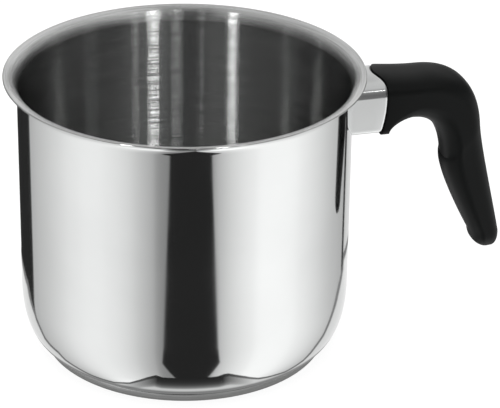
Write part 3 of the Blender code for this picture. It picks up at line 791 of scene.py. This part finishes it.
class MILKPAN_OT_grip(bpy.types.Operator):
    """Lofts the moulded grip, from its spigot in the sleeve to its tip"""
    bl_idname = "milkpan.grip"
    bl_label = "Grip"
    bl_options = {"REGISTER", "UNDO"}

    def lines(self, form, sizes):
        """Control points of the grip's back and finger side, in three stretches each, as (along, up)."""
        top = Vector((form.end + sizes.root, form.top + sizes.proud))
        height = form.top - form.bottom + 2 * sizes.proud

        def by_drop(out, down):
            return top + Vector((out * sizes.reach, -down * sizes.drop))

        def by_depth(out, depth):
            return top + Vector((out * sizes.reach, -depth))

        back = [[by_drop(*shares) for shares in stretch] for stretch in BACK_SHARES]
        heel = [by_depth(0, height + sizes.chin), by_depth(HEEL_SHARES[0], height * HEEL_SHARES[1])]
        bar = [by_depth(out, sizes.bar_thickness) for out in BAR_SHARES[:2]]
        dip = by_depth(BAR_SHARES[2], sizes.bar_thickness * BAR_DIP_SHARE)
        bend = [by_drop(*shares) for shares in FINGER_BEND_SHARES]
        end = [by_drop(*shares) for shares in FINGER_END_SHARES]
        return back, [heel + bar, [bar[1], dip] + bend, [bend[1]] + end]

    def loop(self, form, inner, outer, half_width, crown, toe, toe_across):
        """One section from the finger side to the back, its bends as shares of its depth and half width."""
        through = outer - inner
        depth = through.length
        outline = sleeve_section(half_width, depth, crown * depth, toe_across * half_width, toe * depth,
                                 form.sleeve.crown_power)
        direction = through.normalized()
        return [(inner.x + direction.x * up, across, inner.y + direction.y * up) for across, up in outline]

    def root_loops(self, form, sizes):
        """The spigot inside the sleeve, the step out of it and the rounded front edge of the grip."""
        seat = form.sleeve.seat
        spigot = form.section(form.sleeve.wall + seat)
        front = form.section(-sizes.proud)
        spigot_x = form.end - sizes.spigot - form.sleeve.tongue

        def hang(up):
            """How far the front edge hangs down from a height."""
            return sizes.chin * max(0, (form.shoulder - up) / (form.shoulder - form.bottom)) ** 2

        made = [[(spigot_x, y, z) for y, z in spigot], [(form.end_at(y, z) + seat, y, z) for y, z in spigot]]
        for x, y in quarter(2, GRIP_EDGE_STEPS):
            inset = sizes.edge_radius * (1 - y) - sizes.proud
            advance = sizes.edge_radius * (1 - x)
            made.append([(form.end_at(*outer) + seat + advance, across, up - hang(up))
                         for (across, up), outer in zip(form.section(inset), front)])
        return made

    def loops(self, form, sizes):
        """Every ring of the grip: its root, its three stretches and its rounded tip."""
        made = self.root_loops(form, sizes)
        height = form.top - form.bottom + 2 * sizes.proud + sizes.chin
        crowns = ((form.sleeve.crown_height + sizes.proud) / height,) + CROWN_SHARES
        toe_radius = form.sleeve.toe_radius + sizes.proud
        root_width = form.half_width + sizes.proud
        toes = (toe_radius / height,) + ROUNDING_SHARES
        toes_across = (toe_radius / root_width,) + ROUNDING_ACROSS_SHARES
        bends = zip(zip(crowns, crowns[1:]), zip(toes, toes[1:]), zip(toes_across, toes_across[1:]))
        stretches = zip(*self.lines(form, sizes), WIDTH_SHARES, bends, SECTIONS_PER_STRETCH)
        for number, (back, finger, widths, shares, steps) in enumerate(stretches):
            for step in range(1 if number else 0, steps + 1):
                part = step / steps
                outer = bezier(back, part)
                inner = bezier(finger, part)
                half_width = root_width * bezier(widths, part)
                rounding = [first + (last - first) * part for first, last in shares]
                made.append(self.loop(form, inner, outer, half_width, *rounding))
        middle = (inner + outer) / 2
        through = outer - inner
        ahead = Vector((through.y, -through.x)).normalized()
        for scale, advance in quarter(sizes.tip_power, TIP_SECTIONS)[1:-1]:
            centre = middle + ahead * sizes.tip_length * advance + through * sizes.tip_lean * (1 - scale)
            reach = through / 2 * scale
            made.append(self.loop(form, centre - reach, centre + reach, half_width * scale, *rounding))
        return made

    def execute(self, context):
        make_groups()
        form = HandleForm()
        sizes = settings("grip")
        grip = loft("grip", self.loops(form, sizes))
        self.cut_slot(grip, form)
        self.cut_recess(grip, sizes)
        finish = moulded_phenolic("satin_phenolic", settings("finishes").phenolic)
        place(grip, "handle", "black_phenolic", finish)
        return {"FINISHED"}

    def cut_slot(self, grip, form):
        """The slot that takes the bracket's channel."""
        low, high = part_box("handle_bracket")
        seat = form.sleeve.seat
        half = (NUT_HIGH.y - NUT_LOW.y) / 2 + seat + CHANNEL_SHEET + seat
        bottom = NUT_LOW.z - seat - CHANNEL_SHEET - seat
        top = bottom + CHANNEL_DEPTH + 2 * seat
        end = high.x + seat
        deselect()
        bpy.ops.mesh.primitive_cube_add(size=1, location=((low.x + end) / 2, 0, (bottom + top) / 2))
        bpy.ops.transform.resize(value=(end - low.x, 2 * half, top - bottom))
        bpy.ops.object.transform_apply()
        apply_boolean(grip, bpy.context.object)

    def cut_recess(self, grip, sizes):
        """The screw's recess from below, and the hole above it."""
        centre = (SCREW_LOW.x + SCREW_HIGH.x) / 2
        seat = settings("sleeve").seat
        recess_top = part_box("flat_washer")[1].z + seat
        hole_radius = settings("screw").shank_radius + seat
        for radius, low, high in ((sizes.recess_radius, SCREW_LOW.z - sizes.bar_thickness, recess_top),
                                  (hole_radius, recess_top - OVERRUN, NUT_LOW.z)):
            deselect()
            bpy.ops.mesh.primitive_cylinder_add(vertices=ROUND_SEGMENTS, radius=radius, depth=high - low,
                                                location=(centre, 0, (low + high) / 2))
            bpy.ops.object.transform_apply()
            apply_boolean(grip, bpy.context.object)
        select_only(grip)
        bpy.ops.object.shade_smooth_by_angle(angle=SHARP_ANGLE)


class MILKPAN_OT_screw(bpy.types.Operator):
    """Turns the pan-head screw and cuts its cross recess"""
    bl_idname = "milkpan.screw"
    bl_label = "Handle screw"
    bl_options = {"REGISTER", "UNDO"}

    def execute(self, context):
        make_groups()
        sizes = settings("screw")
        bottom = SCREW_LOW.z
        top = SCREW_HIGH.z
        head_top = bottom + sizes.head_height
        bend = sizes.head_round
        root = sizes.shank_radius - sizes.thread_depth
        outline = [(0, bottom), (sizes.head_radius / 4, bottom)]
        outline += [(sizes.head_radius - bend + bend * x, bottom + bend - bend * y)
                    for x, y in reversed(quarter(2, ARC_STEPS))]
        outline += [(sizes.head_radius, head_top), (root, head_top)]
        for number in range(int((top - sizes.point - head_top - sizes.pitch) / sizes.pitch)):
            low = head_top + sizes.pitch * (number + 0.5)
            crest = [(sizes.shank_radius, low + sizes.pitch * part) for part in THREAD_CREST]
            outline += [(root, low)] + crest
        outline += [(root, top - sizes.point / 2), (sizes.shank_radius - sizes.point, top), (0, top)]
        screw = turn("pan_head_screw", outline, ROUND_SEGMENTS)
        for turned in (0, math.pi / 2):
            self.cut_wing(screw, sizes, bottom, turned)
        select_only(screw)
        screw.location.x = (SCREW_LOW.x + SCREW_HIGH.x) / 2
        bpy.ops.object.transform_apply()
        bpy.ops.object.shade_smooth_by_angle(angle=SHARP_ANGLE)
        finish = turned_metal("zinc_screw", settings("finishes").zinc, roughness=0.28,
                              lines_per_metre=2500.0, strength=0.1)
        place(screw, "handle_screw", "screw_steel", finish)
        return {"FINISHED"}

    def cut_wing(self, screw, sizes, bottom, turned):
        """One bar of the cross recess, tapered towards its floor."""
        deselect()
        bpy.ops.mesh.primitive_cube_add(size=1, location=(0, 0, bottom))
        bpy.ops.transform.resize(value=(sizes.cross_length, sizes.cross_width, 2 * sizes.cross_depth))
        bpy.ops.object.mode_set(mode="EDIT")
        bpy.ops.mesh.select_all(action="DESELECT")
        bpy.ops.object.mode_set(mode="OBJECT")
        wing = bpy.context.object
        for polygon in wing.data.polygons:
            polygon.select = polygon.normal.z > LEVEL
        bpy.ops.object.mode_set(mode="EDIT")
        bpy.ops.transform.resize(value=CROSS_TAPER, center_override=(0, 0, bottom + sizes.cross_depth))
        bpy.ops.object.mode_set(mode="OBJECT")
        wing.rotation_euler.z = turned
        bpy.ops.object.transform_apply()
        apply_boolean(screw, wing)


class MILKPAN_OT_fittings(bpy.types.Operator):
    """Finishes the fittings that keep the model's own solids"""
    bl_idname = "milkpan.fittings"
    bl_label = "Hidden fittings"
    bl_options = {"REGISTER", "UNDO"}

    def execute(self, context):
        make_groups()
        colours = settings("finishes")
        zinc = turned_metal("zinc_washers", colours.zinc, roughness=0.30, lines_per_metre=2500.0,
                            strength=0.1)
        finishes = {
            "heat_spreader_disc": turned_metal("sawn_aluminium", colours.aluminium, roughness=0.40,
                                               lines_per_metre=1500.0, strength=0.3),
            "handle_bracket": drawn_metal("pressed_bracket", colours.pressed, roughness=0.42,
                                          stretch=(300.0, 5000.0, 5000.0), strength=0.2),
            "square_nut": drawn_metal("turned_brass", colours.brass, roughness=0.34,
                                      stretch=(6000.0, 6000.0, 500.0), strength=0.15),
            "spring_washer": zinc,
            "flat_washer": zinc,
        }
        nugget = weld_metal("weld_nugget_metal", colours.weld, colours.heat)
        for name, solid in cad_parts.items():
            if name.startswith("weld_nugget"):
                finishes[name] = nugget
            if name in finishes:
                solid.data.materials.clear()
                solid.data.materials.append(finishes[name])
        return {"FINISHED"}


# Studio

def studio_point(across, away, height):
    """A point given across and away from the camera, about the pan's axis, in world space."""
    return Matrix.Rotation(settings("studio").azimuth, 3, "Z") @ Vector((across, away, height))


def hide_from(obj, *kinds):
    """Hides an object from rays of these kinds."""
    for kind in kinds:
        setattr(obj, f"visible_{kind}", False)


def stop_value(stops, spot):
    """Value at a spot between stops."""
    for (first, low), (last, high) in zip(stops, stops[1:]):
        if spot <= last:
            return low + (high - low) * (spot - first) / (last - first)
    return stops[-1][1]


def by_stops(tree, value, stops):
    """A smooth curve through stops of a value; returns its socket."""
    first, last = stops[0][0], stops[-1][0]
    top = max(level for _, level in stops)
    made = add(tree, "FloatCurve", Value=spread(tree, value, 0, 1, first, last))
    curve = made.mapping.curves[0]
    spots = [((spot - first) / (last - first), level / top) for spot, level in stops]
    for spot in spots[1:-1]:
        curve.points.new(*spot)
    curve.points[0].location = spots[0]
    curve.points[-1].location = spots[-1]
    for point in curve.points:
        point.handle_type = "AUTO_CLAMPED"
    made.mapping.update()
    return multiply(tree, made.outputs[0], top)


def clear_material(name):
    """A material with nothing but its output; returns it, its tree and its surface socket."""
    made = bpy.data.materials.new(name)
    made.use_nodes = True
    made.node_tree.nodes.clear()
    return made, made.node_tree, add(made.node_tree, "OutputMaterial").inputs["Surface"]


def mix_shaders(tree, factor, first, second):
    """The first shader where the factor is 0 and the second where it is 1."""
    mixed = add(tree, "MixShader", Fac=factor)
    wire(tree, first.outputs[0], mixed.inputs[1])
    wire(tree, second.outputs[0], mixed.inputs[2])
    return mixed.outputs[0]


FLOOR_SIZE = 12.0
SENSOR_WIDTH = 36.0         # millimetres, as Blender has it
CAMERA_CLIP = (0.01, 50.0)  # nearest and farthest that the camera sees

# Brightness of the light panels that the wall mirrors, by the turn of the wall from the camera in degrees
PANEL_STOPS = (
    (-90, 1.08), (-78, 1.05), (-66, 0.67), (-61, 0.75), (-55, 0.88), (-48, 1.06), (-40, 1.25), (-33, 1.32),
    (-27, 1.26), (-21, 1.12), (-15.5, 0.87), (-11, 0.66), (-5, 0.38), (2, 0.40), (9, 0.56), (12, 0.78),
    (18.5, 1.15), (24, 1.35), (30, 1.50), (37, 1.48), (44, 1.32), (51, 1.11), (59, 0.86), (66, 0.70),
    (72, 0.62), (77, 0.80), (90, 0.80),
)
# How much brighter the panels grow towards their foot, and between which heights of a mirrored ray
PANEL_FOOT_LEVELS = (1.0, 1.25)
PANEL_FOOT_HEIGHTS = (-0.85, -0.99)
# How far the panels reach up towards the horizon, by the same turn; they end lower where the sleeve mirrors
PANEL_TOP_STOPS = ((-90, 1.0), (0, 1.0), (5, 0.0), (34, 0.0), (40, 1.0), (90, 1.0))
PANEL_TOPS = (-0.385, -0.015)
PANEL_TOP_SOFTNESS = 0.013
# Dark gap between the panels, by how far a mirrored ray runs across; it widens as the ray runs down
GAP_PLACE = 0.066
GAP_HALF_WIDTHS = (0.22, 0.286)
GAP_HEIGHTS = (-0.43, -0.50)
GAP_LOW_HEIGHTS = (-1.0, -0.60)
GAP_SOFTNESS = 0.006
GAP_BACK_SOFTNESS = 0.02    # it ends where a ray runs away from the camera
GAP_LEVEL = 0.028
# Dark gaps at the panels' outer ends, by the turn of the wall
LEFT_GAP = (-84.0, -66.2)
RIGHT_GAP = (72.1, 74.3)
SIDE_GAP_SOFTNESS = 0.25
# Brightness of the sky from the camera's side at -1 over the zenith at 0 to the far side at 1: away from the
# middle, and in a dim band across the middle
SKY_STOPS = (
    (-1.0, 0.50), (-0.60, 0.52), (-0.50, 0.58), (-0.44, 0.66), (-0.30, 0.77), (0.0, 0.80), (0.30, 0.84),
    (1.0, 0.95),
)
BAND_STOPS = (
    (-1.0, 0.08), (-0.70, 0.085), (-0.47, 0.09), (-0.31, 0.124), (-0.11, 0.214), (0.065, 0.353),
    (0.27, 0.465), (0.50, 0.59), (0.69, 0.71), (1.0, 0.85),
)
BAND_PLACE = -0.035
BAND_EDGE = (0.16, 0.25)
# Share of the open sky's brightness from the left at -1 to the right at 1
SIDE_STOPS = (
    (-1.0, 0.42), (-0.75, 0.45), (-0.50, 0.70), (-0.24, 0.72), (-0.16, 1.0), (0.45, 1.0), (0.70, 0.45),
    (1.0, 0.38),
)
# Share of that brightness from the horizon up to the zenith, on the camera's side and on the far side
LOW_SKY_STOPS = ((0.0, 0.42), (0.17, 0.50), (0.34, 0.62), (0.50, 0.75), (0.87, 1.0), (1.0, 1.0))
FAR_LOW_SKY_STOPS = (
    (0.0, 0.12), (0.10, 0.14), (0.20, 0.24), (0.30, 0.50), (0.38, 0.85), (0.50, 1.0), (1.0, 1.0),
)
NEAR_SIDE_EDGE = (-0.2, 0)  # where the camera's side passes into the far side
# Edge of the glowing paper near the pan: degrees from the camera, distance from the axis in millimetres
PAPER_EDGE = (
    (-180, 122), (-107, 112), (-89.5, 96.5), (-85.6, 91.5), (-79.2, 85.5), (-73.3, 79.5), (-67.9, 77),
    (-61.1, 75.5), (-55.6, 71.7), (-51.1, 70.5), (-45.9, 69.3), (-40.6, 68), (-35.3, 67.7), (-29.1, 67.9),
    (-26.5, 69.3), (-22.4, 71.4), (-18.4, 76.5), (-15.5, 80.5), (-12, 84), (-9, 82), (14, 82), (17, 84),
    (19, 84), (22, 81), (25, 78), (28.3, 74.4), (31.1, 71.9), (35.3, 70.3), (39.7, 69.4), (44.6, 68.5),
    (49.8, 69.7), (55.5, 71.3), (61.6, 75.3), (67.5, 79.8), (74.2, 84.2), (83.3, 93.8), (91.2, 102.9),
    (99.5, 111), (108.1, 117.8), (114, 123.7), (117, 131.5), (180, 122),
)
PAPER_INNER_RADIUS = 0.052
PAPER_HEIGHT = 0.0003
PAPER_ROWS = 12
PAPER_STEPS = 6             # columns between two points of the edge
# Painted brightness of that paper's glow, and how it falls at its border, from its inner edge at 0 to its
# outer edge at 1
PAPER_LEVELS = (0.95, 0.25)
PAPER_BORDER = (0.87, 0.91)
# The same in front of the dark gap, and the degrees from the camera where that begins and ends
PAPER_FADE = (
    (0.0, 0.92), (0.53, 0.90), (0.60, 0.45), (0.667, 0.20), (0.75, 0.08), (0.95, 0.03), (1.0, 0.028),
)
FADE_BEGINS = (-26, -11)
FADE_ENDS = (16, 29)
# Painted shade on that paper close to the pan's foot
FOOT_LEVELS = (0.34, 1.0)
FOOT_RADII = (0.0652, 0.0676)
# Softboxes: name, place across, away and up from the pan's foot, width and height, power
SOFTBOXES = (
    ("left", (-0.552, -0.720, 0.76), (0.104, 0.26), 0.84),
    ("right", (0.512, -1.12, 1.08), (0.160, 0.26), 1.80),
    ("middle_right", (0.130, -1.112, 1.08), (0.150, 0.26), 0.40),
    ("middle_left", (-0.260, -1.090, 1.08), (0.080, 0.26), 0.10),
    ("side", (1.775, -2.29, 2.11), (0.18, 0.24), 0.80),
)


class MILKPAN_OT_studio(bpy.types.Operator):
    """Sets up the camera, the pale floor, the glowing paper, the softboxes and the light all round"""
    bl_idname = "milkpan.studio"
    bl_label = "Studio"
    bl_options = {"REGISTER", "UNDO"}

    def execute(self, context):
        studio = settings("studio")
        self.camera(context, studio)
        self.floor(studio)
        self.lit_paper()
        self.softboxes(studio)
        self.surroundings(context, studio)
        context.scene.view_settings.view_transform = "Standard"
        return {"FINISHED"}

    def camera(self, context, studio):
        """The camera faces a point on the pan's axis, and its frame is then shifted."""
        deselect()
        level = studio.distance * math.cos(studio.elevation)
        rise = studio.distance * math.sin(studio.elevation)
        bpy.ops.object.camera_add(location=studio_point(0, -level, studio.aim_height + rise))
        camera = context.object
        camera.name = "studio_camera"
        to_aim = Vector((0, 0, studio.aim_height)) - camera.location
        facing = to_aim.to_track_quat("-Z", "Y").to_matrix().to_4x4()
        roll = Matrix.Rotation(studio.roll, 4, "Z")
        camera.matrix_world = Matrix.Translation(camera.location) @ facing @ roll
        camera.data.sensor_width = SENSOR_WIDTH
        camera.data.lens = studio.lens_share * SENSOR_WIDTH
        camera.data.shift_x = studio.shift_x
        camera.data.shift_y = studio.shift_y
        camera.data.clip_start, camera.data.clip_end = CAMERA_CLIP
        context.scene.camera = camera

    def floor(self, studio):
        """A pale floor that shades softly under the pan and can't be seen from below."""
        deselect()
        bpy.ops.mesh.primitive_plane_add(size=FLOOR_SIZE, location=(0, 0, 0))
        floor = bpy.context.object
        floor.name = "studio_floor"
        made, tree, surface = clear_material("pale_paper")
        paper = add(tree, "AddShader")
        shaded = add(tree, "BsdfDiffuse", Color=(*studio.floor_colour, 1))
        wire(tree, shaded.outputs[0], paper.inputs[0])
        wire(tree, add(tree, "Emission", Strength=studio.floor_glow).outputs[0], paper.inputs[1])
        from_below = add(tree, "NewGeometry").outputs["Backfacing"]
        wire(tree, mix_shaders(tree, from_below, paper, add(tree, "BsdfTransparent")), surface)
        floor.data.materials.append(made)
        hide_from(floor, "glossy")

    def lit_paper(self):
        """A sheet round the pan that glows with painted light in place of lit paper; the soft lower corner
        mirrors it, and only mirrors see it.
        """
        turns = [first + (last - first) * step / PAPER_STEPS
                 for (first, _), (last, _) in zip(PAPER_EDGE, PAPER_EDGE[1:]) for step in range(PAPER_STEPS)]
        turns.append(PAPER_EDGE[-1][0])
        columns = len(turns) - 1
        deselect()
        bpy.ops.mesh.primitive_grid_add(x_subdivisions=columns, y_subdivisions=PAPER_ROWS, size=1,
                                        calc_uvs=True)
        sheet = bpy.context.object
        sheet.name = "studio_lit_paper"
        for vertex in sheet.data.vertices:
            bearing = turns[round((vertex.co.x + 0.5) * columns)]
            edge = stop_value(PAPER_EDGE, bearing) / 1000
            radius = PAPER_INNER_RADIUS + (edge - PAPER_INNER_RADIUS) * (vertex.co.y + 0.5)
            turned = math.radians(bearing)
            vertex.co = studio_point(radius * math.sin(turned), -radius * math.cos(turned), PAPER_HEIGHT)
        first, last = turns[0], turns[-1]
        for corner in sheet.data.uv_layers.active.data:
            corner.uv.x = (turns[round(corner.uv.x * columns)] - first) / (last - first)
        sheet.data.materials.append(self.paper_glow(first, last))
        hide_from(sheet, "camera", "diffuse", "shadow", "transmission", "volume_scatter")

    def paper_glow(self, first, last):
        """Painted glow of that sheet: even up to its border, fading out in front of the dark gap, with
        painted shade near the pan's foot.
        """
        made, tree, surface = clear_material("lit_paper")
        across, outward, _ = parts(tree, coordinate(tree, "UV"))
        bearing = calculate(tree, "MULTIPLY_ADD", across, last - first, first)
        border = spread(tree, outward, *PAPER_LEVELS, *PAPER_BORDER)
        fade = by_stops(tree, outward, PAPER_FADE)
        facing_gap = multiply(tree, spread(tree, bearing, 0, 1, *FADE_BEGINS),
                              spread(tree, bearing, 1, 0, *FADE_ENDS))
        from_axis = add(tree, "VectorMath")
        from_axis.operation = "LENGTH"
        wire(tree, coordinate(tree, "Object"), from_axis.inputs[0])
        # painted shade: the glow dims close round the pan's foot
        painted_foot_shade = spread(tree, from_axis.outputs["Value"], *FOOT_LEVELS, *FOOT_RADII)
        level = multiply(tree, blend(tree, border, fade, facing_gap), painted_foot_shade)
        # painted light: the sheet's glow stands in for lit paper, seen only in mirrors
        wire(tree, add(tree, "Emission", Strength=level).outputs[0], surface)
        return made

    def softboxes(self, studio):
        """Small softboxes on the camera's side, which give the upright streaks and the glints."""
        for name, spot, size, power in SOFTBOXES:
            deselect()
            centre = studio_point(*spot)
            bpy.ops.object.light_add(type="AREA", location=centre)
            light = bpy.context.object
            light.name = f"softbox_{name}"
            light.data.shape = "RECTANGLE"
            light.data.size, light.data.size_y = size
            light.data.energy = power
            facing = centre - Vector((0, 0, studio.aim_height))
            light.rotation_mode = "QUATERNION"
            light.rotation_quaternion = facing.to_track_quat("Z", "Y")
            hide_from(light, "camera", "diffuse")

    def panels(self, tree, across, away, height, wall_turn):
        """Brightness of the light panels, with a dark gap between them and one at each outer end."""
        low_width = spread(tree, height, 0.0, GAP_HALF_WIDTHS[1], *GAP_LOW_HEIGHTS)
        high_width = spread(tree, height, *GAP_HALF_WIDTHS, *GAP_HEIGHTS)
        half_width = calculate(tree, "MINIMUM", low_width, high_width)
        past_edge = calculate(tree, "SUBTRACT", distance(tree, across, GAP_PLACE), half_width)
        open_parts = [calculate(tree, "MAXIMUM", soft_step(tree, past_edge, 0, GAP_SOFTNESS),
                                soft_step(tree, away, 0, GAP_BACK_SOFTNESS))]
        for start, end in (LEFT_GAP, RIGHT_GAP):
            from_middle = distance(tree, wall_turn, (start + end) / 2)
            open_parts.append(soft_step(tree, from_middle, (end - start) / 2, SIDE_GAP_SOFTNESS))
        foot = spread(tree, height, *PANEL_FOOT_LEVELS, *PANEL_FOOT_HEIGHTS)
        lit = multiply(tree, by_stops(tree, wall_turn, PANEL_STOPS), foot, *open_parts)
        return calculate(tree, "MAXIMUM", lit, GAP_LEVEL)

    def sky(self, tree, across, away, height):
        """Brightness of the sky, which is darker low down and in a band across its middle."""
        near_side = spread(tree, away, 1, 0, *NEAR_SIDE_EDGE)
        low_share = blend(tree, by_stops(tree, height, FAR_LOW_SKY_STOPS),
                          by_stops(tree, height, LOW_SKY_STOPS), near_side)
        open_sky = multiply(tree, by_stops(tree, away, SKY_STOPS), low_share,
                            by_stops(tree, across, SIDE_STOPS))
        in_band = spread(tree, distance(tree, across, BAND_PLACE), 1, 0, *BAND_EDGE)
        return blend(tree, open_sky, by_stops(tree, away, BAND_STOPS), in_band)

    def surroundings(self, context, studio):
        """Even white light, and for mirrors a dim sky over two light panels with dark gaps between them."""
        world = bpy.data.worlds.new("studio_world")
        context.scene.world = world
        world.cycles.sampling_method = "NONE"
        world.use_nodes = True
        tree = world.node_tree
        tree.nodes.clear()
        rotated = add(tree, "Mapping", Vector=coordinate(tree, "Generated"),
                      Rotation=(0, 0, -studio.azimuth))
        across, away, height = parts(tree, rotated.outputs[0])
        bearing = calculate(tree, "ARCTAN2", across, multiply(tree, away, -1.0))
        wall_turn = multiply(tree, bearing, math.degrees(0.5))
        panel_top = spread(tree, by_stops(tree, wall_turn, PANEL_TOP_STOPS), *PANEL_TOPS, 0, 1)
        above = soft_step(tree, calculate(tree, "SUBTRACT", height, panel_top), 0, PANEL_TOP_SOFTNESS)
        mirrored = blend(tree, self.panels(tree, across, away, height, wall_turn),
                         self.sky(tree, across, away, height), above)
        white = (1, 1, 1, 1)
        plain_light = add(tree, "Background", Color=white, Strength=studio.daylight)
        mirrored_light = add(tree, "Background", Color=white, Strength=mirrored)
        in_mirrors = add(tree, "LightPath").outputs["Is Glossy Ray"]
        wire(tree, mix_shaders(tree, in_mirrors, plain_light, mirrored_light),
             add(tree, "OutputWorld").inputs["Surface"])


OPERATORS = (
    MILKPAN_OT_body,
    MILKPAN_OT_base,
    MILKPAN_OT_sleeve,
    MILKPAN_OT_grip,
    MILKPAN_OT_screw,
    MILKPAN_OT_fittings,
    MILKPAN_OT_studio,
)


class MILKPAN_PT_panel(bpy.types.Panel):
    """Lists the pieces and the studio in the 3D view's sidebar"""
    bl_idname = "MILKPAN_PT_panel"
    bl_label = "Milk Pan"
    bl_space_type = "VIEW_3D"
    bl_region_type = "UI"
    bl_category = "Milk Pan"

    def draw(self, context):
        for operator in OPERATORS:
            self.layout.operator(operator.bl_idname)
        for name, group in GROUPS.items():
            box = self.layout.box()
            box.label(text=name.removeprefix("milk_pan_").capitalize())
            for field in group.__annotations__:
                box.prop(getattr(context.scene, name), field)


def register():
    for group in GROUPS.values():
        bpy.utils.register_class(group)
    for operator in OPERATORS:
        bpy.utils.register_class(operator)
    bpy.utils.register_class(MILKPAN_PT_panel)
    for name, group in GROUPS.items():
        setattr(bpy.types.Scene, name, bpy.props.PointerProperty(type=group))


def unregister():
    for name in GROUPS:
        delattr(bpy.types.Scene, name)
    bpy.utils.unregister_class(MILKPAN_PT_panel)
    for operator in reversed(OPERATORS):
        bpy.utils.unregister_class(operator)
    for group in reversed(GROUPS.values()):
        bpy.utils.unregister_class(group)


def main():
    register()
    bpy.ops.milkpan.body()
    bpy.ops.milkpan.base()
    bpy.ops.milkpan.sleeve()
    bpy.ops.milkpan.grip()
    bpy.ops.milkpan.screw()
    bpy.ops.milkpan.fittings()
    bpy.ops.milkpan.studio()


if __name__ == "__main__":
    main()
